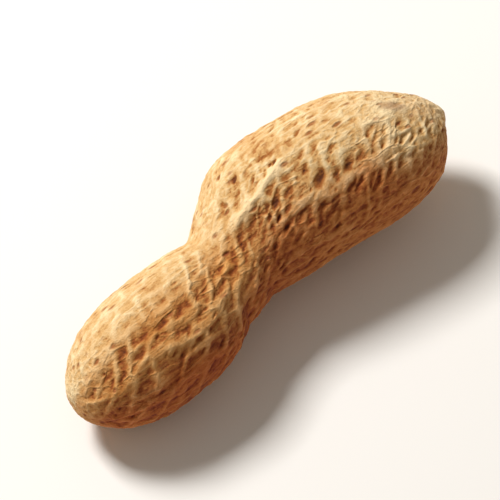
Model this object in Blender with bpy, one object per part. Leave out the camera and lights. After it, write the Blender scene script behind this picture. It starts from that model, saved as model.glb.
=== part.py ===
"""A whole peanut in its shell: one closed pod with two lobes, lying on its side.

Metres, +Z up. The length runs along X, with the smaller lobe and the scar of its stalk at -X, and the
larger lobe and its beak at +X. The pod's bend lies flat, with the outside of the bend at +Y. It rests
on z = 0, and the origin is under the middle of its box.
"""

import bmesh
import bpy
import numpy as np

MM = 0.001

# Driving dimensions, in millimetres
LENGTH = 51.0
SMALL_WIDTH = 13.7
SMALL_CENTRE = -13.0
BIG_WIDTH = 16.2
BIG_CENTRE = 10.7
WAIST_AT = -2.5
FLATTENING = 0.94

# How far each lobe's curve reaches towards the waist, past its centre
SMALL_INNER_REACH = 12.0
BIG_INNER_REACH = 16.0

# The curves of the lobes towards their ends and towards the waist, as a fullness and a bluntness
SMALL_OUTER_CURVE = (2.7, 0.54)
SMALL_INNER_CURVE = (2.4, 0.5)
BIG_OUTER_CURVE = (2.5, 0.69)
BIG_INNER_CURVE = (3.6, 0.57)
LOBE_BLEND = 2.5

# The bend: an even bow, a sideways step at the waist, and the tip drawn back out to the beak
BOW = 2.55
WAIST_STEP = 1.9
WAIST_STEP_LENGTH = 3.6
BEAK_OFFSET = 1.6
BEAK_OFFSET_LENGTH = 2.4

# The beak at +X and the round scar of the stalk at -X
BEAK_HEIGHT = 0.35
BEAK_WIDTH = 1.3
SCAR_DEPTH = 0.3
SCAR_WIDTH = 1.1

# The flat spots that it lies on are this deep, and the relief fades out towards them
PRESS = 0.12
FADE_START = 0.1
FADE_END = 1.3

# The raised net: main ribs run the length, a weaker side rib lies midway between each two, and slanted
# veins cross from one main rib to the next. One rib of each lobe, high on the pod, is a strong one.
# The net is turned round the pod by a share of the half space between main ribs
SEED = 11
MAIN_RIBS = 10
NET_TURN = 0.95
RELIEF_DEPTH = 0.62
RIB_WIDTH = 0.55
RIB_WEAKENING = 0.3
SMALL_STRONG_RIB = 3
BIG_STRONG_RIB = 2
STRONG_RIB_CHANGE = (0.42, 0.5)
STRONG_RIB_EXTRA = 0.35
SIDE_RIB_WIDTH = 0.45
SIDE_RIB_HEIGHTS = (0.1, 0.8)
RIB_SWAY = 0.25
SWAY_LENGTHS = (11.0, 19.0)
FADE_LENGTHS = (6.0, 10.0)
VEIN_WIDTH = 0.5
VEIN_HEIGHTS = (0.6, 0.95)
SMALL_VEIN_STEP = 2.9
BIG_VEIN_STEP = 2.3
VEIN_STEP_CHANGE = (0.35, 0.55)
VEIN_JITTER = 0.25
VEIN_SLANT = -2.0
SLANT_JITTER = 0.7
VEIN_CURL = 1.1
RIB_FADE_RADII = (1.2, 4.2)
NET_FADE_RADII = (2.0, 5.0)

# Slow swells and dents of the whole wall, as waves with a length, a twist and a start
SWELL_HEIGHT = 0.22
SWELL_WAVES = ((3.1, 1.3, 0.7), (4.7, 2.0, 2.1), (6.0, 0.9, 4.0))

COLUMNS_PER_RIB = 8
ROWS = 74
OUTLINE_POINTS = 4001

SHELL_COLOUR = (0.53, 0.29, 0.11, 1.0)
SHELL_ROUGHNESS = 0.85


def half_lobe(share, fullness, bluntness):
    """A lobe's outline, from 1 at its centre to 0 at its end, for a share of the way to the end."""
    return np.clip(1.0 - np.clip(share, 0.0, 1.0) ** fullness, 0.0, 1.0) ** bluntness


def radius_at(x):
    """The pod's outer radius along its length: two lobes melted together at the waist."""
    half = LENGTH / 2
    outer = half_lobe((SMALL_CENTRE - x) / (half + SMALL_CENTRE), *SMALL_OUTER_CURVE)
    inner = half_lobe((x - SMALL_CENTRE) / SMALL_INNER_REACH, *SMALL_INNER_CURVE)
    small = SMALL_WIDTH / 2 * np.where(x < SMALL_CENTRE, outer, inner)
    outer = half_lobe((x - BIG_CENTRE) / (half - BIG_CENTRE), *BIG_OUTER_CURVE)
    inner = half_lobe((BIG_CENTRE - x) / BIG_INNER_REACH, *BIG_INNER_CURVE)
    big = BIG_WIDTH / 2 * np.where(x > BIG_CENTRE, outer, inner)
    return (small**LOBE_BLEND + big**LOBE_BLEND) ** (1 / LOBE_BLEND)


def sideways_at(x):
    """How far the pod's middle line stands out towards +Y."""
    half = LENGTH / 2
    arch = np.clip(1.0 - (x / half) ** 2, 0.0, 1.0)
    step = WAIST_STEP * np.tanh((x - WAIST_AT) / WAIST_STEP_LENGTH) * np.sqrt(arch)
    return BOW * arch + step + BEAK_OFFSET * np.exp(-(((half - x) / BEAK_OFFSET_LENGTH) ** 2))


def height_at(x):
    """The height of the middle line, sloped so that both lobes lie on the ground."""
    small = FLATTENING * SMALL_WIDTH / 2 - PRESS
    big = FLATTENING * BIG_WIDTH / 2 - PRESS
    return small + (big - small) * (x - SMALL_CENTRE) / (BIG_CENTRE - SMALL_CENTRE)


def surface_line():
    """The pod's outline from -X to +X: distance along it, x and radius."""
    x = -np.cos(np.linspace(0.0, np.pi, OUTLINE_POINTS)) * LENGTH / 2
    radius = radius_at(x)
    distance = np.concatenate(([0.0], np.cumsum(np.hypot(np.diff(x), np.diff(radius)))))
    return distance, x, radius


def smooth_step(value, low, high):
    share = np.clip((value - low) / (high - low), 0.0, 1.0)
    return share * share * (3.0 - 2.0 * share)


class Net:
    """The ribs and the veins between them, laid out once from a seeded draw.

    A course counts half spaces between main ribs round the pod: even numbers are main ribs and odd
    numbers are side ribs. A share runs from 0 at one main rib to 1 at the next.
    """

    def __init__(self, total):
        draw = np.random.RandomState(SEED)
        self.total = total
        self.courses = 2 * MAIN_RIBS
        self.sway_length = draw.uniform(*SWAY_LENGTHS, self.courses)
        self.sway_phase = draw.uniform(0.0, 2 * np.pi, self.courses)
        self.fade_length = draw.uniform(*FADE_LENGTHS, MAIN_RIBS)
        self.fade_phase = draw.uniform(0.0, 2 * np.pi, MAIN_RIBS)
        self.veins = [self.lay_veins(draw, total) for _ in range(MAIN_RIBS)]

    def lay_veins(self, draw, total):
        """The veins between two main ribs: where each stands, its slant, its curl and its height."""
        at = draw.uniform(0.0, SMALL_VEIN_STEP)
        rows = []
        while at < total:
            slant = VEIN_SLANT + draw.uniform(-SLANT_JITTER, SLANT_JITTER)
            curl = draw.uniform(-VEIN_CURL, VEIN_CURL)
            rows.append((at, slant, curl, draw.uniform(*VEIN_HEIGHTS)))
            on_big_lobe = smooth_step(at / total, *VEIN_STEP_CHANGE)
            step = SMALL_VEIN_STEP + (BIG_VEIN_STEP - SMALL_VEIN_STEP) * on_big_lobe
            at += step * (1.0 + draw.uniform(-VEIN_JITTER, VEIN_JITTER))
        return np.array(rows).T

    def crests(self, number, share):
        """How far along the pod the veins of one space stand, for shares across it."""
        at, slant, curl, _ = self.veins[number]
        share = np.asarray(share)[..., None]
        return at + slant * (share - 0.5) + curl * share * (1.0 - share)

    def angle(self, course, along):
        """The angle round the pod of a place between two courses, which both stray."""
        first = np.floor(course).astype(int) % self.courses
        second = (first + 1) % self.courses
        share = course - np.floor(course)
        stray = (1 - share) * self.sway(first, along) + share * self.sway(second, along)
        return 2 * np.pi * (course + stray + NET_TURN) / self.courses

    def sway(self, number, along):
        """How far a rib strays from its straight course."""
        return RIB_SWAY * np.sin(2 * np.pi * along / self.sway_length[number] + self.sway_phase[number])

    def fading(self, number, along):
        """How far a rib has faded, from 0 to 1, as it comes and goes along the pod."""
        return 0.5 + 0.5 * np.sin(2 * np.pi * along / self.fade_length[number] + self.fade_phase[number])

    def ridge(self, course, along, radius):
        """The net's height, from 0 on a cell's floor to 1 on a main rib."""
        space = np.floor(course / 2).astype(int) % MAIN_RIBS
        share = course / 2 - np.floor(course / 2)
        width = 2 * np.pi * radius / MAIN_RIBS
        nearest = np.floor(course / 2 + 0.5).astype(int) % MAIN_RIBS
        strength = 1 - RIB_WEAKENING * self.fading(nearest, along)
        big = smooth_step(along / self.total, *STRONG_RIB_CHANGE)
        chosen = (1 - big) * (nearest == SMALL_STRONG_RIB) + big * (nearest == BIG_STRONG_RIB)
        strength = strength + STRONG_RIB_EXTRA * chosen
        main = strength * np.exp(-((np.minimum(share, 1 - share) * width / RIB_WIDTH) ** 2))
        weak, strong = SIDE_RIB_HEIGHTS
        strength = strong + (weak - strong) * self.fading(space, along)
        side = strength * np.exp(-(((share - 0.5) * width / SIDE_RIB_WIDTH) ** 2))
        vein = np.zeros_like(side)
        for number in range(MAIN_RIBS):
            here = space == number
            off_vein = along[here, None] - self.crests(number, share[here])
            vein[here] = (self.veins[number][3] * np.exp(-((off_vein / VEIN_WIDTH) ** 2))).max(axis=1)
        body = smooth_step(radius, *NET_FADE_RADII)
        return 1 - (1 - main) * (1 - body * side) * (1 - body * vein)

    def seat_rows(self, column, row, row_step):
        """How far along each point of the mesh stands, with a row of points bent along each vein."""
        along = row * row_step
        ends = np.array([0, 1, ROWS - 1, ROWS])
        for number in range(MAIN_RIBS):
            rows = np.round(self.veins[number][0] / row_step)
            for place in range(1, COLUMNS_PER_RIB):
                crests = self.crests(number, place / COLUMNS_PER_RIB)
                lowest = np.minimum(rows, crests / row_step)
                highest = np.maximum(rows, crests / row_step)
                keep = (lowest > 2) & (highest < ROWS - 2)
                from_rows = np.concatenate((ends[:2], rows[keep], ends[2:]))
                to_places = np.concatenate((ends[:2] * row_step, crests[keep], ends[2:] * row_step))
                here = column == number * COLUMNS_PER_RIB + place
                along[here] = np.interp(row[here], from_rows, to_places)
        return along


def swell(x, angle):
    """Slow unevenness of the wall, from a few long waves."""
    total = 0.0
    for length, twist, start in SWELL_WAVES:
        total = total + np.sin(x / length + twist * np.cos(angle + start) + start)
    return SWELL_HEIGHT * total / len(SWELL_WAVES)


def pod_surface(row, column):
    """The mesh's points and their relief, in millimetres, for rows from -X to +X and columns round it."""
    distance, line_x, line_radius = surface_line()
    net = Net(distance[-1])
    course = 2 * column / COLUMNS_PER_RIB
    along = net.seat_rows(column, row, distance[-1] / ROWS)
    x = np.interp(along, distance, line_x)
    radius = np.interp(along, distance, line_radius)
    slope_x = np.interp(along, distance, np.gradient(line_x, distance))
    slope_r = np.interp(along, distance, np.gradient(line_radius, distance))
    angle = net.angle(course, along)
    body = smooth_step(radius, *RIB_FADE_RADII)
    underside = height_at(x) + FLATTENING * radius * np.sin(angle)
    relief = RELIEF_DEPTH * (net.ridge(course, along, radius) - 1.0) + swell(x, angle)
    relief = relief * body * smooth_step(underside, FADE_START, FADE_END)
    beak = BEAK_HEIGHT * np.exp(-((radius / BEAK_WIDTH) ** 2)) * (x > 0)
    scar = SCAR_DEPTH * np.exp(-((radius / SCAR_WIDTH) ** 2)) * (x < 0)
    out = radius + relief * slope_x
    px = x - relief * slope_r + beak + scar
    py = sideways_at(x) + out * np.cos(angle)
    pz = height_at(x) + FLATTENING * out * np.sin(angle)
    return np.stack((px, py, np.maximum(pz, 0.0)), axis=1), relief


def split_along_ridges(bm, relief):
    """Cuts each four-sided face from corner to corner, along the pair of corners that stands higher."""
    for face in list(bm.faces):
        if len(face.verts) == 4:
            first, second, third, fourth = face.verts
            one_way = relief[first.index] + relief[third.index]
            other_way = relief[second.index] + relief[fourth.index]
            ends = (first, third) if one_way > other_way else (second, fourth)
            bmesh.utils.face_split(face, *ends)


def make_pod():
    """A sphere's rows and columns, laid over the pod's formula."""
    bm = bmesh.new()
    columns = COLUMNS_PER_RIB * MAIN_RIBS
    bmesh.ops.create_uvsphere(bm, u_segments=columns, v_segments=ROWS, radius=1.0)
    ball = np.array([vert.co[:] for vert in bm.verts])
    row = np.round(ROWS * np.arccos(np.clip(-ball[:, 2], -1.0, 1.0)) / np.pi)
    column = np.round(columns * np.arctan2(ball[:, 1], ball[:, 0]) / (2 * np.pi)) % columns
    points, relief = pod_surface(row, column)
    middle = (points.min(axis=0) + points.max(axis=0)) / 2
    points[:, :2] -= middle[:2]
    for vert, point in zip(bm.verts, points):
        vert.co = point * MM
    split_along_ridges(bm, relief)
    mesh = bpy.data.meshes.new("pod")
    bm.to_mesh(mesh)
    bm.free()
    mesh.shade_smooth()
    pod = bpy.data.objects.new("pod", mesh)
    bpy.context.scene.collection.objects.link(pod)
    return pod


def shell_material():
    """Dry, matt, straw-brown shell."""
    material = bpy.data.materials.new("peanut shell")
    material.use_nodes = True
    shader = material.node_tree.nodes["Principled BSDF"]
    shader.inputs["Base Color"].default_value = SHELL_COLOUR
    shader.inputs["Roughness"].default_value = SHELL_ROUGHNESS
    shader.inputs["Metallic"].default_value = 0.0
    return material


for leftover in list(bpy.data.objects):
    bpy.data.objects.remove(leftover, do_unlink=True)
make_pod().data.materials.append(shell_material())
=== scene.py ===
"""A whole peanut in its shell, dressed for its picture.

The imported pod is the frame. A finer pod takes its place: the same lobes, bend, ribs and veins, with the
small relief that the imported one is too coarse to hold, and a dry straw-coloured finish.
"""

import math

import bmesh
import bpy
import numpy as np
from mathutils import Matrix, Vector, noise


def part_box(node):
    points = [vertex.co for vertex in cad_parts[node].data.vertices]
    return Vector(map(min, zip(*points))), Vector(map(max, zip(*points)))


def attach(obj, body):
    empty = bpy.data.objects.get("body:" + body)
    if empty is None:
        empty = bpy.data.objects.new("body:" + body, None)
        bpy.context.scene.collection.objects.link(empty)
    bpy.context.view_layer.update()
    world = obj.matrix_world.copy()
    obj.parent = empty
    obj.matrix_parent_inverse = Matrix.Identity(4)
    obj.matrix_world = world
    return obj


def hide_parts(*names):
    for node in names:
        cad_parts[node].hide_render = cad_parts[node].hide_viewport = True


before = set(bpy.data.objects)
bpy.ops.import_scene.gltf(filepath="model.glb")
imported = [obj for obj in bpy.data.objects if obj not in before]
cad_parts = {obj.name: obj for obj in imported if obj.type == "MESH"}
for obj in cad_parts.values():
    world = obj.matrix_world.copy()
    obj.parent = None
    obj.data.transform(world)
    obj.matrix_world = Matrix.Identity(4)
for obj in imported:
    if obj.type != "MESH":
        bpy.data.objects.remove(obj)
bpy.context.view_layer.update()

MM = 0.001

# The view, the light and the floor. Angles are an azimuth and an elevation in degrees, the power is in
# watts, and places and sizes are in metres, but for the camera's sensor, which is in millimetres
AIMED_AT = (0.0, 0.0, 0.006)
VIEW_ANGLES = (-39.6, 60.0)
CAMERA_DISTANCE = 0.6
VIEW_WIDTH = 0.052
SENSOR_WIDTH = 36.0
KEY_ANGLES = (-168.0, 51.0)
KEY_DISTANCE = 0.5
KEY_SIZE = 0.14
KEY_POWER = 2.85
KEY_SHADE = (1.0, 0.98, 0.95)
STUDIO_SHADE = (1.0, 0.9, 0.77, 1.0)
STUDIO_LIGHTING = 0.27
STUDIO_SEEN = 0.95
FLOOR_SIZE = 3.0
FLOOR_SHADE = (246, 245, 243)
FLOOR_ROUGHNESS = 0.9

# The pod's main form, in millimetres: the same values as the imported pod's
LENGTH = 51.0
SMALL_WIDTH = 13.7
SMALL_CENTRE = -13.0
BIG_WIDTH = 16.2
BIG_CENTRE = 10.7
WAIST_AT = -2.5
FLATTENING = 0.94
SMALL_INNER_REACH = 12.0
BIG_INNER_REACH = 16.0
SMALL_OUTER_CURVE = (2.7, 0.54)
SMALL_INNER_CURVE = (2.4, 0.5)
BIG_OUTER_CURVE = (2.5, 0.69)
BIG_INNER_CURVE = (3.6, 0.57)
LOBE_BLEND = 2.5
BOW = 2.55
WAIST_STEP = 1.9
WAIST_STEP_LENGTH = 3.6
BEAK_OFFSET = 1.6
BEAK_OFFSET_LENGTH = 2.4
BEAK_HEIGHT = 0.35
BEAK_WIDTH = 1.3
SCAR_DEPTH = 0.3
SCAR_WIDTH = 1.1
PRESS = 0.12
FADE_START = 0.1
FADE_END = 1.3

# The raised net of ribs and veins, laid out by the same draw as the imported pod's
SEED = 11
MAIN_RIBS = 10
NET_TURN = 0.95
RELIEF_DEPTH = 0.46
SMALL_LOBE_DEEPER = 0.25
RIB_WIDTH = 0.5
RIB_WEAKENING = 0.3
SMALL_STRONG_RIB = 3
BIG_STRONG_RIB = 2
STRONG_RIB_CHANGE = (0.42, 0.5)
STRONG_RIB_EXTRA = 0.35
SIDE_RIB_WIDTH = 0.4
SIDE_RIB_HEIGHTS = (0.1, 0.8)
RIB_SWAY = 0.25
SWAY_LENGTHS = (11.0, 19.0)
FADE_LENGTHS = (6.0, 10.0)
VEIN_WIDTH = 0.36
VEIN_HEIGHTS = (0.6, 0.95)
SMALL_VEIN_STEP = 2.9
BIG_VEIN_STEP = 2.3
VEIN_STEP_CHANGE = (0.35, 0.55)
VEIN_JITTER = 0.25
VEIN_SLANT = -2.8
SLANT_JITTER = 0.7
VEIN_CURL = 1.1
RIB_FADE_RADII = (1.2, 4.2)
NET_FADE_RADII = (2.0, 5.0)
SWELL_HEIGHT = 0.22
SWELL_WAVES = ((3.1, 1.3, 0.7), (4.7, 2.0, 2.1), (6.0, 0.9, 4.0))
OUTLINE_POINTS = 4001

# The finer mesh, and where each use of the noise starts in it, so that no two patterns are alike
COLUMNS = 320
ROWS = 300
NOISE_STARTS = {
    "bend along": 0.0,
    "bend round": 31.7,
    "fray along": 9.1,
    "fray round": 17.3,
    "fray height": 27.9,
    "strength": 12.9,
    "stoutness": 51.3,
    "cells": 0.0,
    "pit patches": 5.5,
    "dots": 7.3,
    "dot patches": 41.5,
    "fibres": 3.3,
    "coarse grain": 21.1,
    "fine grain": 5.9,
}

# How the finer net wanders and frays, and how strong it is. Breadths for the lobes are the small one's and
# the big one's. Other shares and breadths are the least one, and what the strong or stout patches add
LOBE_CHANGE = (-6.0, 2.0)
BEND_SIZE = 3.2
BEND_ALONG = 0.8
BEND_ROUND = 0.2
FRAY_SIZE = 0.9
FRAY_ALONG = 0.22
FRAY_ROUND = 0.09
FRAY_HEIGHT = 0.22
STRENGTH_SIZE = 3.4
STRENGTH_RANGE = (-0.35, 0.35)
STOUTNESS_SIZE = 4.0
STOUTNESS_STRETCH = (0.6, 1.0, 1.0)
STOUTNESS_RANGE = (-0.3, 0.35)
MAIN_RIB_SHARES = (0.3, 0.55)
SMALL_LOBE_RIBS = 0.25
SMALL_LOBE_EVENNESS = 0.6
SMALL_SIDE_SHARES = (0.6, 0.35)
BIG_SIDE_SHARES = (0.1, 0.5)
SMALL_VEIN_SHARES = (0.5, 0.5)
BIG_VEIN_SHARES = (0.1, 0.5)
MIDDLE_VEINS = 0.3
LOBE_BREADTHS = (1.35, 0.95)
STOUT_BREADTHS = (0.85, 0.4)
CREST_WIDENING = 0.35

# The long crest on the big lobe with a hollow on each side of it, and the parts that are smoother or more
# strongly netted. Facings are angles round the pod in radians, and pairs of them are the two lobes'
CREST_COURSE = 4.0
CREST_BREADTH = 0.8
CREST_START = (-3.5, -1.0)
CREST_END = (4.0, 9.0)
TROUGH_OFFSET = 0.95
TROUGH_BREADTH = 0.45
TROUGH_DEPTH = 0.22
# The side that faces the key light. Its relief is smoothed, as by wear, and the finish paints it paler,
# which is painted light
WORN_AND_LIT_FACINGS = (0.7, 0.9)
WORN_AND_LIT_SPREAD = (0.45, 0.92)
WORN_SMOOTHINGS = (0.75, 0.6)
FLANK_FACING = 3.0
FLANK_SPREAD = (0.5, 0.95)
FLANK_SMOOTHING = 0.4
CREST_SPARED = 0.9
MIDDLE_FACING = 2.1
MIDDLE_SPREAD = (0.75, 0.95)
WAIST_SMOOTHING = 0.55
WAIST_PLACE = (-4.5, 3.5)

# The small relief: cell edges, pits, dots, fibres and grain. Shares are the small lobe's and the big one's,
# and the edges' strengths are the least one and what the strong patches add
TWIST = 0.07
CELL_SIZE = 1.2
CELL_STRETCH = 0.44
CELL_EDGE_HEIGHT = 0.2
CELL_EDGE_WIDTH = 0.2
EDGE_SHARES = (0.25, 1.0)
EDGE_STRENGTHS = (0.5, 0.5)
MIDDLE_EDGES = 0.5
PIT_DEPTH = 0.28
PIT_REACH = (0.05, 0.35)
PIT_PATCH_SIZE = 1.9
PIT_PATCH_RANGE = (-0.35, 0.25)
PIT_SHARES = (0.45, 1.0)
PITS_ON_RIBS = 0.2
DOT_SIZE = 0.8
DOT_DEPTH = 0.14
DOT_REACH = (0.05, 0.38)
DOT_PATCH_SIZE = 1.3
DOT_PATCH_RANGE = (-0.1, 0.3)
WORN_PITS_LOST = 0.6
BEAK_PITS_LOST = 0.5
FIBRE_SIZE = 0.42
FIBRE_STRETCH = (0.16, 1.0, 1.0)
FIBRE_HEIGHT = 0.07
COARSE_GRAIN_SIZE = 0.5
FINE_GRAIN_SIZE = 0.27
FINE_GRAIN_SHARE = 0.5
GRAIN_HEIGHT = 0.05
FINE_RADII = (0.0, 1.5)

# What the finish reads at each point. The hollows' reach counts rows and columns of the mesh, the stain is
# placed in millimetres along and radians round, and the lower flank's turns and lags are in degrees
HOLLOW_REACH = 4
HOLLOW_SCALE = 0.16
# On the small lobe's side that faces the key light, the hollows are darkened less: painted light
LIT_SIDE_HOLLOWS_LOST = 0.5
BEAK_HOLLOWS_LOST = 0.3
# The crest's extra paleness is partly its own paler straw and partly painted highlight, and the troughs'
# darkening is painted shade
CREST_PALENESS = 0.8
TROUGH_DARKNESS = 0.6
BEAK_PART = (11.0, 18.0)
# The beak's top, where the key light falls, is painted paler: painted light
BEAK_FACING = 1.7
BEAK_SPREAD = (0.7, 0.95)
BEAK_PALENESS = 0.8
# The lower flank, turned away from the key light, is darkened to orange-brown by the finish: painted warm
# shade
LOWER_START = (96.0, 152.0)
LOWER_FADING = (185.0, 235.0)
LOWER_FADED = 0.65
LOWER_END = (310.0, 350.0)
LOWER_RADII = (1.0, 5.6)
LOWER_AT_TIPS = 0.35
SMALL_LAG = 22.0
BEAK_LAG = 18.0
STAIN_AT = (19.9, 1.45)
STAIN_REACH = (1.3, 0.14)
GOLDEN_END = (-3.0, 7.0)
# The golden wash is kept off the side that faces the key light, leaving it paler: painted light
LIT_SIDE_GOLDEN_LOST = 0.95

# The finish's patterns: sizes in millimetres, and how far each pattern is drawn out along the pod
PATCH_SIZE = 7.5
MOTTLE_SIZE = 1.8
FIBRE_LINE_SIZE = 0.42
FIBRE_LINE_STRETCH = (0.14, 1.0, 1.0)
SPECK_SIZE = 0.3
PORE_SPACING = 1.1
PORE_STRETCH = (0.42, 1.0, 1.0)
PORE_REACH = (0.1, 0.3)
PORE_PATCH_SIZE = 3.2
PORE_PATCH_RANGE = (0.42, 0.6)
WORN_PORES = 0.1
STRAND_SPACING = 1.2
STRAND_STRETCH = (0.38, 1.0, 1.0)
STRAND_BEND = 0.5
STRAND_WAVES = 0.8
STRAND_WIDTH = 0.14
STRAND_PATCH_SIZE = 4.5
STRAND_PATCH_RANGE = (0.38, 0.58)

# The finish's colours, from 0 to 255, and how much each thing counts for them and for the bump, whose depth
# is in millimetres
SHELL_SHADES = (
    (0.0, (100, 48, 12)),
    (0.28, (172, 106, 42)),
    (0.52, (218, 173, 110)),
    (0.95, (250, 224, 176)),
)
GOLDEN_WASH = (224, 178, 112)
PORE_WASH = (188, 136, 92)
STAIN_BROWN = (146, 94, 54)
# The colour of the painted warm shade on the lower flank
PAINTED_SHADE_WASH = (224, 150, 52)
MIDDLE_LEVEL = 0.43
# The hollows' darkening is partly the shell's own brown and partly painted shade
HOLLOW_COUNTS = 0.33
HEIGHT_COUNTS = 0.2
MOTTLE_COUNTS = 0.6
FIBRES_COUNT = 0.9
SPECKS_COUNT = 0.5
# How much paler the side that faces the key light is painted: painted light
LIT_SIDE_PAINTED_LIGHT = 0.12
STRANDS_COUNT = 0.16
GOLDEN_PATCHES = (0.42, 0.7)
GOLDEN_PATCHES_COUNT = 0.25
GOLDEN_COUNTS = 0.68
PORES_COUNT = 0.85
STAIN_BREAKING = 1.3
STAIN_RANGE = (0.2, 0.9)
STAIN_COUNTS = 0.6
# How the lower flank's painted warm shade is spread and how strong it is
PAINTED_SHADE_RANGE = (0.0, 0.95)
PAINTED_SHADE_COUNTS = 0.8
BUMP_DEPTH = 0.4
FIBRE_BUMP = 0.5
SPECK_BUMP = 0.5
STRAND_BUMP = 0.3
WORN_STRANDS_LOST = 0.6
PORE_BUMP = 0.35
ROUGHEST = 0.9
SMOOTHER_WHERE_PALE = 0.2
PALE_RANGE = (0.5, 1.1)


def smooth_step(value, low, high):
    share = np.clip((value - low) / (high - low), 0.0, 1.0)
    return share * share * (3.0 - 2.0 * share)


def half_lobe(share, fullness, bluntness):
    """A lobe's outline, from 1 at its centre to 0 at its end, for a share of the way to the end."""
    return np.clip(1.0 - np.clip(share, 0.0, 1.0) ** fullness, 0.0, 1.0) ** bluntness


def radius_at(x):
    """The pod's outer radius along its length: two lobes melted together at the waist."""
    half = LENGTH / 2
    outer = half_lobe((SMALL_CENTRE - x) / (half + SMALL_CENTRE), *SMALL_OUTER_CURVE)
    inner = half_lobe((x - SMALL_CENTRE) / SMALL_INNER_REACH, *SMALL_INNER_CURVE)
    small = SMALL_WIDTH / 2 * np.where(x < SMALL_CENTRE, outer, inner)
    outer = half_lobe((x - BIG_CENTRE) / (half - BIG_CENTRE), *BIG_OUTER_CURVE)
    inner = half_lobe((BIG_CENTRE - x) / BIG_INNER_REACH, *BIG_INNER_CURVE)
    big = BIG_WIDTH / 2 * np.where(x > BIG_CENTRE, outer, inner)
    return (small**LOBE_BLEND + big**LOBE_BLEND) ** (1 / LOBE_BLEND)


def sideways_at(x):
    """How far the pod's middle line stands out towards +Y."""
    half = LENGTH / 2
    arch = np.clip(1.0 - (x / half) ** 2, 0.0, 1.0)
    step = WAIST_STEP * np.tanh((x - WAIST_AT) / WAIST_STEP_LENGTH) * np.sqrt(arch)
    return BOW * arch + step + BEAK_OFFSET * np.exp(-(((half - x) / BEAK_OFFSET_LENGTH) ** 2))


def height_at(x):
    """The height of the middle line, sloped so that both lobes lie on the ground."""
    small = FLATTENING * SMALL_WIDTH / 2 - PRESS
    big = FLATTENING * BIG_WIDTH / 2 - PRESS
    return small + (big - small) * (x - SMALL_CENTRE) / (BIG_CENTRE - SMALL_CENTRE)


def surface_line():
    """The pod's outline from -X to +X: distance along it, x and radius."""
    x = -np.cos(np.linspace(0.0, np.pi, OUTLINE_POINTS)) * LENGTH / 2
    radius = radius_at(x)
    distance = np.concatenate(([0.0], np.cumsum(np.hypot(np.diff(x), np.diff(radius)))))
    return distance, x, radius


class Net:
    """The ribs and the veins between them, laid out once from a seeded draw.

    A course counts half spaces between main ribs round the pod: even numbers are main ribs and odd
    numbers are side ribs. A share runs from 0 at one main rib to 1 at the next.
    """

    def __init__(self, total):
        draw = np.random.RandomState(SEED)
        self.total = total
        self.courses = 2 * MAIN_RIBS
        self.sway_length = draw.uniform(*SWAY_LENGTHS, self.courses)
        self.sway_phase = draw.uniform(0.0, 2 * np.pi, self.courses)
        self.fade_length = draw.uniform(*FADE_LENGTHS, MAIN_RIBS)
        self.fade_phase = draw.uniform(0.0, 2 * np.pi, MAIN_RIBS)
        self.veins = [self.lay_veins(draw) for _ in range(MAIN_RIBS)]

    def lay_veins(self, draw):
        """The veins between two main ribs: where each stands, its slant, its curl and its height."""
        at = draw.uniform(0.0, SMALL_VEIN_STEP)
        rows = []
        while at < self.total:
            slant = VEIN_SLANT + draw.uniform(-SLANT_JITTER, SLANT_JITTER)
            curl = draw.uniform(-VEIN_CURL, VEIN_CURL)
            rows.append((at, slant, curl, draw.uniform(*VEIN_HEIGHTS)))
            on_big_lobe = smooth_step(at / self.total, *VEIN_STEP_CHANGE)
            step = SMALL_VEIN_STEP + (BIG_VEIN_STEP - SMALL_VEIN_STEP) * on_big_lobe
            at += step * (1.0 + draw.uniform(-VEIN_JITTER, VEIN_JITTER))
        return np.array(rows).T

    def crests(self, number, share):
        """How far along the pod the veins of one space stand, for shares across it."""
        at, slant, curl, _ = self.veins[number]
        share = share[..., None]
        return at + slant * (share - 0.5) + curl * share * (1.0 - share)

    def sway(self, number, along):
        """How far a rib strays from its straight course."""
        return RIB_SWAY * np.sin(2 * np.pi * along / self.sway_length[number] + self.sway_phase[number])

    def angle(self, course, along):
        """The angle round the pod of a place between two courses, which both stray."""
        first = np.floor(course).astype(int) % self.courses
        second = (first + 1) % self.courses
        share = course - np.floor(course)
        stray = (1 - share) * self.sway(first, along) + share * self.sway(second, along)
        return 2 * np.pi * (course + stray + NET_TURN) / self.courses

    def fading(self, number, along):
        """How far a rib has faded, from 0 to 1, as it comes and goes along the pod."""
        return 0.5 + 0.5 * np.sin(2 * np.pi * along / self.fade_length[number] + self.fade_phase[number])

    def ridge(self, course, along, radius, shares, breadth):
        """The net's height, from 0 on a cell's floor to 1 on a main rib.

        Shares of the main ribs', the side ribs' and the veins' heights are kept, and breadth widens them.
        """
        main_share, side_share, vein_share = shares
        space = np.floor(course / 2).astype(int) % MAIN_RIBS
        share = course / 2 - np.floor(course / 2)
        width = 2 * np.pi * radius / MAIN_RIBS
        nearest = np.floor(course / 2 + 0.5).astype(int) % MAIN_RIBS
        strength = 1 - RIB_WEAKENING * self.fading(nearest, along)
        big = smooth_step(along / self.total, *STRONG_RIB_CHANGE)
        chosen = (1 - big) * (nearest == SMALL_STRONG_RIB) + big * (nearest == BIG_STRONG_RIB)
        strength = strength + STRONG_RIB_EXTRA * chosen
        off_rib = np.minimum(share, 1 - share) * width / (RIB_WIDTH * breadth)
        main = strength * main_share * np.exp(-(off_rib**2))
        weak, strong = SIDE_RIB_HEIGHTS
        strength = strong + (weak - strong) * self.fading(space, along)
        off_rib = (share - 0.5) * width / (SIDE_RIB_WIDTH * breadth)
        side = strength * side_share * np.exp(-(off_rib**2))
        vein = np.zeros_like(side)
        for number in range(MAIN_RIBS):
            here = space == number
            off_vein = along[here, None] - self.crests(number, share[here])
            off_vein = off_vein / (VEIN_WIDTH * breadth[here, None])
            vein[here] = (self.veins[number][3] * np.exp(-(off_vein**2))).max(axis=1)
        body = smooth_step(radius, *NET_FADE_RADII)
        return 1 - (1 - main) * (1 - body * side) * (1 - body * vein_share * vein)


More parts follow.
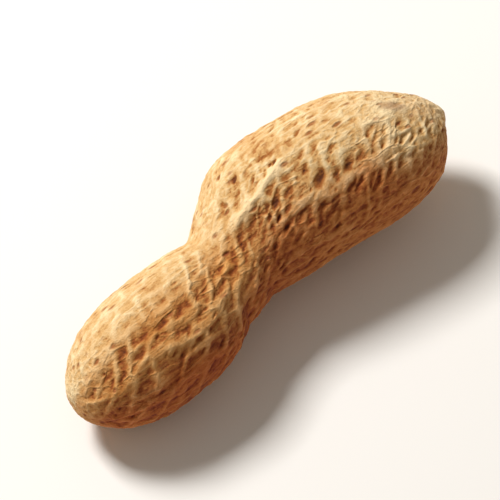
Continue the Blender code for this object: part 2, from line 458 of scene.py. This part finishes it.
def swell(x, angle):
    """Slow unevenness of the wall, from a few long waves."""
    total = 0.0
    for length, twist, start in SWELL_WAVES:
        total = total + np.sin(x / length + twist * np.cos(angle + start) + start)
    return SWELL_HEIGHT * total / len(SWELL_WAVES)


class Spots:
    """The mesh's points on the pod's smooth form, in millimetres, and which part of the pod each is on."""

    def __init__(self, row, column):
        distance, line_x, line_radius = surface_line()
        self.net = Net(distance[-1])
        self.course = 2 * MAIN_RIBS * column / COLUMNS
        self.along = distance[-1] * row / ROWS
        self.x = np.interp(self.along, distance, line_x)
        self.radius = np.interp(self.along, distance, line_radius)
        self.slope_x = np.interp(self.along, distance, np.gradient(line_x, distance))
        self.slope_r = np.interp(self.along, distance, np.gradient(line_radius, distance))
        self.angle = self.net.angle(self.course, self.along)
        self.place = self.round_line(self.x, self.angle)

        self.big_lobe = smooth_step(self.x, *LOBE_CHANGE)
        self.small_lobe = 1.0 - self.big_lobe
        self.near_beak = smooth_step(self.x, *BEAK_PART)
        self.body = smooth_step(self.radius, *RIB_FADE_RADII)
        # The side that faces the key light: its relief is smoothed, as by wear, and the finish paints it
        # paler, which is painted light
        self.worn = self.facing(self.lobes(*WORN_AND_LIT_FACINGS), WORN_AND_LIT_SPREAD)
        self.middle = self.facing(MIDDLE_FACING, MIDDLE_SPREAD) * self.big_lobe
        self.strong = smooth_step(self.noise("strength", STRENGTH_SIZE), *STRENGTH_RANGE)

        bend, fray = self.noise("bend along", BEND_SIZE), self.noise("fray along", FRAY_SIZE)
        self.bend_along = BEND_ALONG * bend + FRAY_ALONG * fray
        bend, fray = self.noise("bend round", BEND_SIZE), self.noise("fray round", FRAY_SIZE)
        self.bend_round = BEND_ROUND * bend + FRAY_ROUND * fray

        reach = smooth_step(self.x, *CREST_START) * (1.0 - smooth_step(self.x, *CREST_END))
        off_crest = np.abs(self.course + self.bend_round - CREST_COURSE)
        self.crest = reach * np.exp(-((off_crest / CREST_BREADTH) ** 2))
        self.trough = reach * np.exp(-(((off_crest - TROUGH_OFFSET) / TROUGH_BREADTH) ** 2))
        smooth = self.lobes(*WORN_SMOOTHINGS) * self.worn
        smooth = smooth + FLANK_SMOOTHING * self.facing(FLANK_FACING, FLANK_SPREAD)
        self.smooth = smooth * (1.0 - CREST_SPARED * self.crest)

    def round_line(self, along, angle):
        """Places round a straight middle line."""
        return np.stack((along, self.radius * np.cos(angle), self.radius * np.sin(angle)), axis=1)

    def lobes(self, small, big):
        """A value that changes from the small lobe's to the big lobe's."""
        return small * self.small_lobe + big * self.big_lobe

    def facing(self, angle, spread):
        """1 where the pod faces an angle round it, and 0 well to the side of that."""
        return smooth_step(np.cos(self.angle - angle), *spread)

    def noise(self, use, size, stretch=(1.0, 1.0, 1.0)):
        """Smooth noise from -1 to 1 with features of the given size, different for each use."""
        points = self.place * stretch / size + NOISE_STARTS[use]
        return np.array([noise.noise(Vector(point)) for point in points])

    def cells(self, use, size):
        """How far each spot is from its nearest and second nearest cell middle, in cell sizes."""
        turned = self.angle + TWIST * self.x
        points = self.round_line(CELL_STRETCH * self.x, turned) / size + NOISE_STARTS[use]
        return np.array([noise.voronoi(Vector(point))[0][:2] for point in points]).T

    def lying(self):
        """0 where the pod touches the ground and its relief is pressed flat, and 1 above that."""
        underside = height_at(self.x) + FLATTENING * self.radius * np.sin(self.angle)
        return smooth_step(underside, FADE_START, FADE_END)


def rising(least_and_more, where):
    """A least value, raised by up to so much more as a share goes from 0 to 1."""
    least, more = least_and_more
    return least + more * where


def net_height(spots):
    """The net's height, stouter in some patches than in others, and lower at the waist."""
    stout = smooth_step(spots.noise("stoutness", STOUTNESS_SIZE, STOUTNESS_STRETCH), *STOUTNESS_RANGE)
    waist_x, waist_length = WAIST_PLACE
    waist = np.exp(-(((spots.x - waist_x) / waist_length) ** 2))
    main = rising(MAIN_RIB_SHARES, stout)
    main = main + SMALL_LOBE_RIBS * spots.small_lobe * (1.0 - SMALL_LOBE_EVENNESS * stout)
    main = np.maximum(main * (1.0 - WAIST_SMOOTHING * waist), spots.crest)
    side = spots.lobes(rising(SMALL_SIDE_SHARES, spots.strong), rising(BIG_SIDE_SHARES, spots.strong))
    vein = spots.lobes(rising(SMALL_VEIN_SHARES, spots.strong), rising(BIG_VEIN_SHARES, spots.strong))
    vein = vein + MIDDLE_VEINS * spots.middle
    breadth = spots.lobes(*LOBE_BREADTHS) * rising(STOUT_BREADTHS, stout) + CREST_WIDENING * spots.crest
    course = (spots.course + spots.bend_round) % spots.net.courses
    along = spots.along + spots.bend_along
    ridge = spots.net.ridge(course, along, spots.radius, (main, side, vein), breadth)
    return ridge * (1.0 + FRAY_HEIGHT * spots.noise("fray height", FRAY_SIZE))


def small_relief(spots, floor):
    """The height that cell edges, pits, dots, fibres and grain add. The floor is 0 on a rib, 1 in a cell."""
    near, far = spots.cells("cells", CELL_SIZE)
    edges = np.exp(-(((far - near) / CELL_EDGE_WIDTH) ** 2)) * spots.lobes(*EDGE_SHARES)
    edges = edges * rising(EDGE_STRENGTHS, spots.strong) * (1.0 + MIDDLE_EDGES * spots.middle)
    chosen = smooth_step(spots.noise("pit patches", PIT_PATCH_SIZE), *PIT_PATCH_RANGE)
    pits = chosen * spots.lobes(*PIT_SHARES) * (1.0 - smooth_step(near, *PIT_REACH))
    pits = pits * (PITS_ON_RIBS + (1.0 - PITS_ON_RIBS) * floor)
    near, _ = spots.cells("dots", DOT_SIZE)
    chosen = smooth_step(spots.noise("dot patches", DOT_PATCH_SIZE), *DOT_PATCH_RANGE)
    dots = chosen * (1.0 - smooth_step(near, *DOT_REACH))
    kept = 1.0 - WORN_PITS_LOST * spots.worn * spots.small_lobe - BEAK_PITS_LOST * spots.near_beak
    fibres = spots.noise("fibres", FIBRE_SIZE, FIBRE_STRETCH)
    grain = spots.noise("coarse grain", COARSE_GRAIN_SIZE)
    grain = grain + FINE_GRAIN_SHARE * spots.noise("fine grain", FINE_GRAIN_SIZE)

    fine = CELL_EDGE_HEIGHT * edges * floor * (1.0 - spots.smooth)
    fine = fine - (PIT_DEPTH * pits + DOT_DEPTH * dots) * kept
    fine = fine + FIBRE_HEIGHT * fibres + GRAIN_HEIGHT * grain
    return fine * smooth_step(spots.radius, *FINE_RADII)


def raised(spots, relief):
    """The spots in the pod's own frame, raised by the relief, with the beak and the scar at the ends."""
    beak = BEAK_HEIGHT * np.exp(-((spots.radius / BEAK_WIDTH) ** 2)) * (spots.x > 0)
    scar = SCAR_DEPTH * np.exp(-((spots.radius / SCAR_WIDTH) ** 2)) * (spots.x < 0)
    out = spots.radius + relief * spots.slope_x
    px = spots.x - relief * spots.slope_r + beak + scar
    py = sideways_at(spots.x) + out * np.cos(spots.angle)
    pz = height_at(spots.x) + FLATTENING * out * np.sin(spots.angle)
    return np.stack((px, py, np.maximum(pz, 0.0)), axis=1)


def hollows(relief, row, column):
    """How far each point lies under the mean of its neighbourhood, round the pod and along it."""
    grid = np.zeros((ROWS + 1, COLUMNS))
    grid[row, column] = relief
    grid[0] = relief[row == 0][0]
    grid[ROWS] = relief[row == ROWS][0]
    steps = range(-HOLLOW_REACH, HOLLOW_REACH + 1)
    rows = np.arange(ROWS + 1)
    mean = sum(grid[np.clip(rows + step, 0, ROWS)] for step in steps) / len(steps)
    mean = sum(np.roll(mean, step, axis=1) for step in steps) / len(steps)
    return mean[row, column] - relief


def painted_shade_flank(spots):
    """Where one flank gets painted warm shade in orange-brown, starting lower on the small lobe and by the
    beak.
    """
    turn = np.degrees(spots.angle) % 360.0
    lag = SMALL_LAG * spots.small_lobe + BEAK_LAG * spots.near_beak
    lower = smooth_step(turn - lag, *LOWER_START) * (1.0 - smooth_step(turn, *LOWER_END))
    lower = lower * (1.0 - LOWER_FADED * smooth_step(turn, *LOWER_FADING))
    return lower * (LOWER_AT_TIPS + (1.0 - LOWER_AT_TIPS) * smooth_step(spots.radius, *LOWER_RADII))


def shell_marks(spots, ridge, hollow):
    """What the finish reads at each point, by name."""
    height = 1.0 - (1.0 - np.clip(ridge, 0.0, 1.0)) * spots.body
    # The crest's extra paleness is partly its own paler straw and partly painted highlight, and the troughs'
    # darkening is painted shade
    height = height * (1.0 + CREST_PALENESS * spots.crest) - TROUGH_DARKNESS * spots.trough
    # The beak's top, where the key light falls, is painted paler: painted light
    height = height + BEAK_PALENESS * spots.near_beak * spots.facing(BEAK_FACING, BEAK_SPREAD)
    # Hollows are darkened less by the beak, and on the small lobe's side that faces the key light, which is
    # painted light
    kept = 1.0 - LIT_SIDE_HOLLOWS_LOST * spots.worn * spots.small_lobe - BEAK_HOLLOWS_LOST * spots.near_beak
    off_x = (spots.x - STAIN_AT[0]) / STAIN_REACH[0]
    off_angle = (spots.angle - STAIN_AT[1]) / STAIN_REACH[1]
    return {
        "height": height,
        # Darkens the hollows: partly the shell's own brown, partly painted shade
        "hollow": hollow * kept / HOLLOW_SCALE,
        # Painted warm shade on the lower flank
        "lower": painted_shade_flank(spots),
        "worn": spots.worn,
        "stain": np.exp(-(off_x**2) - off_angle**2),
        # The golden wash is kept off the side that faces the key light, leaving it paler: painted light
        "golden": (1.0 - LIT_SIDE_GOLDEN_LOST * spots.worn) * (1.0 - smooth_step(spots.x, *GOLDEN_END)),
    }


def pod_surface(row, column):
    """The mesh's points in millimetres, and what the finish reads at each, by name."""
    spots = Spots(row, column)
    ridge = net_height(spots)
    depth = RELIEF_DEPTH * (1.0 + SMALL_LOBE_DEEPER * spots.small_lobe)
    relief = depth * (ridge - 1.0) * (1.0 - spots.smooth) + swell(spots.x, spots.angle)
    relief = (relief - TROUGH_DEPTH * spots.trough) * spots.body
    floor = 1.0 - np.clip(ridge, 0.0, 1.0)
    relief = (relief + small_relief(spots, floor)) * spots.lying()
    hollow = hollows(relief, row.astype(int), column.astype(int))
    return raised(spots, relief), shell_marks(spots, ridge, hollow)


def fitted(points, low, high):
    """Points moved, and stretched by a hair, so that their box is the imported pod's box."""
    lowest = points.min(axis=0)
    highest = points.max(axis=0)
    return low + (points - lowest) / (highest - lowest) * (high - low)


def mark(mesh, name, values):
    """Keeps one number for each point of a mesh, for its finish to read."""
    kept = mesh.attributes.new(name, "FLOAT", "POINT")
    kept.data.foreach_set("value", np.asarray(values, dtype=np.float32))


def make_pod():
    """A sphere's rows and columns, laid over the pod's formula."""
    bm = bmesh.new()
    bmesh.ops.create_uvsphere(bm, u_segments=COLUMNS, v_segments=ROWS, radius=1.0)
    mesh = bpy.data.meshes.new("shell")
    bm.to_mesh(mesh)
    bm.free()
    ball = np.empty(3 * len(mesh.vertices))
    mesh.vertices.foreach_get("co", ball)
    ball = ball.reshape(-1, 3)
    row = np.round(ROWS * np.arccos(np.clip(-ball[:, 2], -1.0, 1.0)) / np.pi)
    column = np.round(COLUMNS * np.arctan2(ball[:, 1], ball[:, 0]) / (2 * np.pi)) % COLUMNS
    points, marks = pod_surface(row, column)
    low, high = (np.array(corner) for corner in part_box("pod"))
    mesh.vertices.foreach_set("co", fitted(points, low, high).ravel())
    for name, values in marks.items():
        mark(mesh, name, values)
    mesh.shade_smooth()
    mesh.update()
    pod = bpy.data.objects.new("shell", mesh)
    bpy.context.scene.collection.objects.link(pod)
    return pod


def colour(red, green, blue):
    """A screen colour from 0 to 255, as the shader's own light values."""
    shares = (value / 255 for value in (red, green, blue))
    return tuple(s / 12.92 if s <= 0.04045 else ((s + 0.055) / 1.055) ** 2.4 for s in shares) + (1.0,)


class Wire:
    """One shader value. Sums on it add Math nodes."""

    def __init__(self, nodes, socket):
        self.nodes = nodes
        self.socket = socket

    def sum(self, operation, first, second):
        return self.nodes.node("ShaderNodeMath", {"operation": operation}, {0: first, 1: second})

    def __add__(self, other):
        return self.sum("ADD", self, other)

    def __radd__(self, other):
        return self.sum("ADD", other, self)

    def __sub__(self, other):
        return self.sum("SUBTRACT", self, other)

    def __rsub__(self, other):
        return self.sum("SUBTRACT", other, self)

    def __mul__(self, other):
        return self.sum("MULTIPLY", self, other)

    def __rmul__(self, other):
        return self.sum("MULTIPLY", other, self)


class Nodes:
    """The nodes of a material or of the studio's surroundings."""

    def __init__(self, tree):
        self.tree = tree

    def node(self, kind, settings=None, sockets=None, out=0):
        """Adds a node: its settings first, then the values or wires of its sockets."""
        made = self.tree.nodes.new(kind)
        for name, value in (settings or {}).items():
            if name == "stops":
                ramp = made.color_ramp
                while len(ramp.elements) < len(value):
                    ramp.elements.new(0.5)
                for element, (place, shade) in zip(ramp.elements, value):
                    element.position = place
                    element.color = shade
            else:
                setattr(made, name, value)
        for name, value in (sockets or {}).items():
            self.set(made.inputs[name], value)
        return Wire(self, made.outputs[out])

    def set(self, socket, value):
        if isinstance(value, Wire):
            self.tree.links.new(value.socket, socket)
        else:
            socket.default_value = value


class Finish(Nodes):
    """A material and the patterns that make it. Their sizes are in millimetres."""

    def __init__(self, name):
        self.material = bpy.data.materials.new(name)
        self.material.use_nodes = True
        super().__init__(self.material.node_tree)
        self.shader = self.tree.nodes["Principled BSDF"]

    def places(self, scale):
        """Places on the object, stretched by a scale for each direction."""
        plain = self.node("ShaderNodeTexCoord", out="Object")
        return self.node("ShaderNodeMapping", {"vector_type": "POINT"}, {"Vector": plain, "Scale": scale})

    def noise(self, size, scale=(1.0, 1.0, 1.0), *, detail, roughness=0.55):
        """Noise from 0 to 1 with features of the given size."""
        sockets = {
            "Vector": self.places(scale),
            "Scale": 1 / (size * MM),
            "Detail": detail,
            "Roughness": roughness,
        }
        return self.node("ShaderNodeTexNoise", {"noise_dimensions": "3D"}, sockets)

    def pores(self, spacing, scale, reach):
        """Scattered holes, 1 in their middles and 0 outside. Their reach is in shares of the spacing."""
        sockets = {"Vector": self.places(scale), "Scale": 1 / (spacing * MM)}
        away = self.node("ShaderNodeTexVoronoi", {"feature": "F1"}, sockets)
        return 1.0 - self.between(away, *reach)

    def strands(self, spacing, scale, bend, width):
        """Thin wandering threads that meet in a net: 1 along a thread and 0 beside it."""
        places = self.places(scale)
        sockets = {"Vector": places, "Scale": STRAND_WAVES / (spacing * MM)}
        stray = self.node("ShaderNodeTexNoise", sockets=sockets, out="Color")
        stray = self.node("ShaderNodeVectorMath", {"operation": "SCALE"}, {0: stray, "Scale": bend * MM})
        bent = self.node("ShaderNodeVectorMath", {"operation": "ADD"}, {0: places, 1: stray})
        sockets = {"Vector": bent, "Scale": 1 / (spacing * MM)}
        away = self.node("ShaderNodeTexVoronoi", {"feature": "DISTANCE_TO_EDGE"}, sockets)
        return 1.0 - self.between(away, 0.0, width)

    def mark(self, name):
        """A number that the mesh keeps for each of its points."""
        settings = {"attribute_type": "GEOMETRY", "attribute_name": name}
        return self.node("ShaderNodeAttribute", settings, out="Fac")

    def between(self, value, low, high):
        """A value spread from 0 at low to 1 at high, with soft ends."""
        settings = {"interpolation_type": "SMOOTHSTEP", "clamp": True}
        return self.node("ShaderNodeMapRange", settings, {"Value": value, "From Min": low, "From Max": high})

    def mix(self, share, first, second, blend="MIX"):
        """Two colours mixed, or blended, by a share."""
        settings = {"data_type": "RGBA", "blend_type": blend}
        return self.node("ShaderNodeMix", settings, {0: share, 6: first, 7: second}, out=2)

    def put(self, **sockets):
        """Sets the shader's sockets, by name with underscores for spaces."""
        for name, value in sockets.items():
            self.set(self.shader.inputs[name.replace("_", " ")], value)


def shell_finish():
    """Dry, matt, fibrous shell: pale straw where it stands out, golden tan between, brown in hollows. The
    hollows' brown is partly the shell's own colour and partly painted shade, the side that faces the key
    light is painted paler, which is painted light, and the lower flank gets painted warm shade.
    """
    shell = Finish("peanut shell")
    # The side that faces the key light, smoothed and painted paler: partly painted light
    worn = shell.mark("worn")
    patches = shell.noise(PATCH_SIZE, detail=2.0)
    mottle = shell.noise(MOTTLE_SIZE, detail=4.0, roughness=0.6)
    fibres = shell.noise(FIBRE_LINE_SIZE, FIBRE_LINE_STRETCH, detail=4.0, roughness=0.7)
    specks = shell.noise(SPECK_SIZE, detail=3.0, roughness=0.7)
    chosen = shell.noise(PORE_PATCH_SIZE, detail=1.0) + WORN_PORES * worn
    pores = shell.pores(PORE_SPACING, PORE_STRETCH, PORE_REACH) * shell.between(chosen, *PORE_PATCH_RANGE)
    chosen = shell.noise(STRAND_PATCH_SIZE, detail=1.0)
    strands = shell.strands(STRAND_SPACING, STRAND_STRETCH, STRAND_BEND, STRAND_WIDTH)
    strands = strands * shell.between(chosen, *STRAND_PATCH_RANGE)

    # The hollows' darkening is partly the shell's own brown and partly painted shade, and the side that
    # faces the key light is painted paler, which is painted light
    level = MIDDLE_LEVEL - HOLLOW_COUNTS * shell.mark("hollow") + HEIGHT_COUNTS * shell.mark("height")
    level = level + MOTTLE_COUNTS * (mottle - 0.5) + FIBRES_COUNT * (fibres - 0.5)
    level = level + SPECKS_COUNT * (specks - 0.5) + LIT_SIDE_PAINTED_LIGHT * worn + STRANDS_COUNT * strands
    stops = [(place, colour(*shade)) for place, shade in SHELL_SHADES]
    surface = shell.node("ShaderNodeValToRGB", {"stops": stops}, {"Fac": level})
    golden = shell.between(patches, *GOLDEN_PATCHES) * GOLDEN_PATCHES_COUNT
    golden = golden + GOLDEN_COUNTS * shell.mark("golden")
    surface = shell.mix(golden, surface, colour(*GOLDEN_WASH), "MULTIPLY")
    surface = shell.mix(pores * PORES_COUNT, surface, colour(*PORE_WASH), "MULTIPLY")
    stained = shell.between(shell.mark("stain") + STAIN_BREAKING * (mottle - 0.5), *STAIN_RANGE)
    surface = shell.mix(stained * STAIN_COUNTS, surface, colour(*STAIN_BROWN))
    # Painted warm shade: the lower flank, turned away from the key light, darkened to orange-brown
    painted_shade = shell.between(shell.mark("lower") + (patches - 0.5), *PAINTED_SHADE_RANGE)
    surface = shell.mix(painted_shade * PAINTED_SHADE_COUNTS, surface, colour(*PAINTED_SHADE_WASH), "MULTIPLY")

    relief = STRAND_BUMP * strands * (1.0 - WORN_STRANDS_LOST * worn) - PORE_BUMP * pores
    relief = FIBRE_BUMP * fibres + SPECK_BUMP * specks + relief
    sockets = {"Strength": 1.0, "Distance": BUMP_DEPTH * MM, "Height": relief}
    shell.put(
        Base_Color=surface,
        Roughness=ROUGHEST - SMOOTHER_WHERE_PALE * shell.between(level, *PALE_RANGE),
        Metallic=0.0,
        Normal=shell.node("ShaderNodeBump", sockets=sockets),
    )
    return shell.material


def floor_finish():
    """One even pale colour."""
    floor = Finish("pale floor")
    floor.put(Base_Color=colour(*FLOOR_SHADE), Roughness=FLOOR_ROUGHNESS)
    return floor.material


def make_floor():
    """A plain pale floor, far wider than the pod."""
    bm = bmesh.new()
    bmesh.ops.create_grid(bm, x_segments=1, y_segments=1, size=FLOOR_SIZE)
    mesh = bpy.data.meshes.new("floor")
    bm.to_mesh(mesh)
    bm.free()
    mesh.materials.append(floor_finish())
    floor = bpy.data.objects.new("floor", mesh)
    bpy.context.scene.collection.objects.link(floor)


def direction(azimuth, elevation):
    """The way from the pod to a place at these angles, in degrees. Azimuth 0 looks along +Y."""
    a, e = math.radians(azimuth), math.radians(elevation)
    return Vector((math.sin(a) * math.cos(e), -math.cos(a) * math.cos(e), math.sin(e)))


def aim(thing, place):
    """Puts a light or camera at a place, facing the pod."""
    thing.location = place
    thing.rotation_euler = (place - Vector(AIMED_AT)).to_track_quat("Z", "Y").to_euler()
    bpy.context.scene.collection.objects.link(thing)


def make_key_light():
    """A square softbox, high behind the pod and on its left as the camera sees it."""
    data = bpy.data.lights.new("key", "AREA")
    data.shape = "SQUARE"
    data.size = KEY_SIZE
    data.energy = KEY_POWER
    data.color = KEY_SHADE
    aim(bpy.data.objects.new("key", data), direction(*KEY_ANGLES) * KEY_DISTANCE)


def make_studio():
    """Even pale surroundings, brighter to the eye than they light the pod."""
    world = bpy.data.worlds.new("studio")
    world.use_nodes = True
    nodes = Nodes(world.node_tree)
    seen = nodes.node("ShaderNodeLightPath", out="Is Camera Ray")
    background = world.node_tree.nodes["Background"]
    nodes.set(background.inputs["Color"], STUDIO_SHADE)
    nodes.set(background.inputs["Strength"], STUDIO_LIGHTING + (STUDIO_SEEN - STUDIO_LIGHTING) * seen)
    bpy.context.scene.world = world


def make_camera():
    """The photograph's view: down on the pod, which runs from lower left to upper right."""
    data = bpy.data.cameras.new("camera")
    data.sensor_width = SENSOR_WIDTH
    data.lens = SENSOR_WIDTH * CAMERA_DISTANCE / VIEW_WIDTH
    camera = bpy.data.objects.new("camera", data)
    aim(camera, Vector(AIMED_AT) + direction(*VIEW_ANGLES) * CAMERA_DISTANCE)
    bpy.context.scene.camera = camera


shell = make_pod()
shell.data.materials.append(shell_finish())
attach(shell, "root")
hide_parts("pod")

make_floor()
make_studio()
make_key_light()
make_camera()
bpy.context.scene.view_settings.view_transform = "Standard"
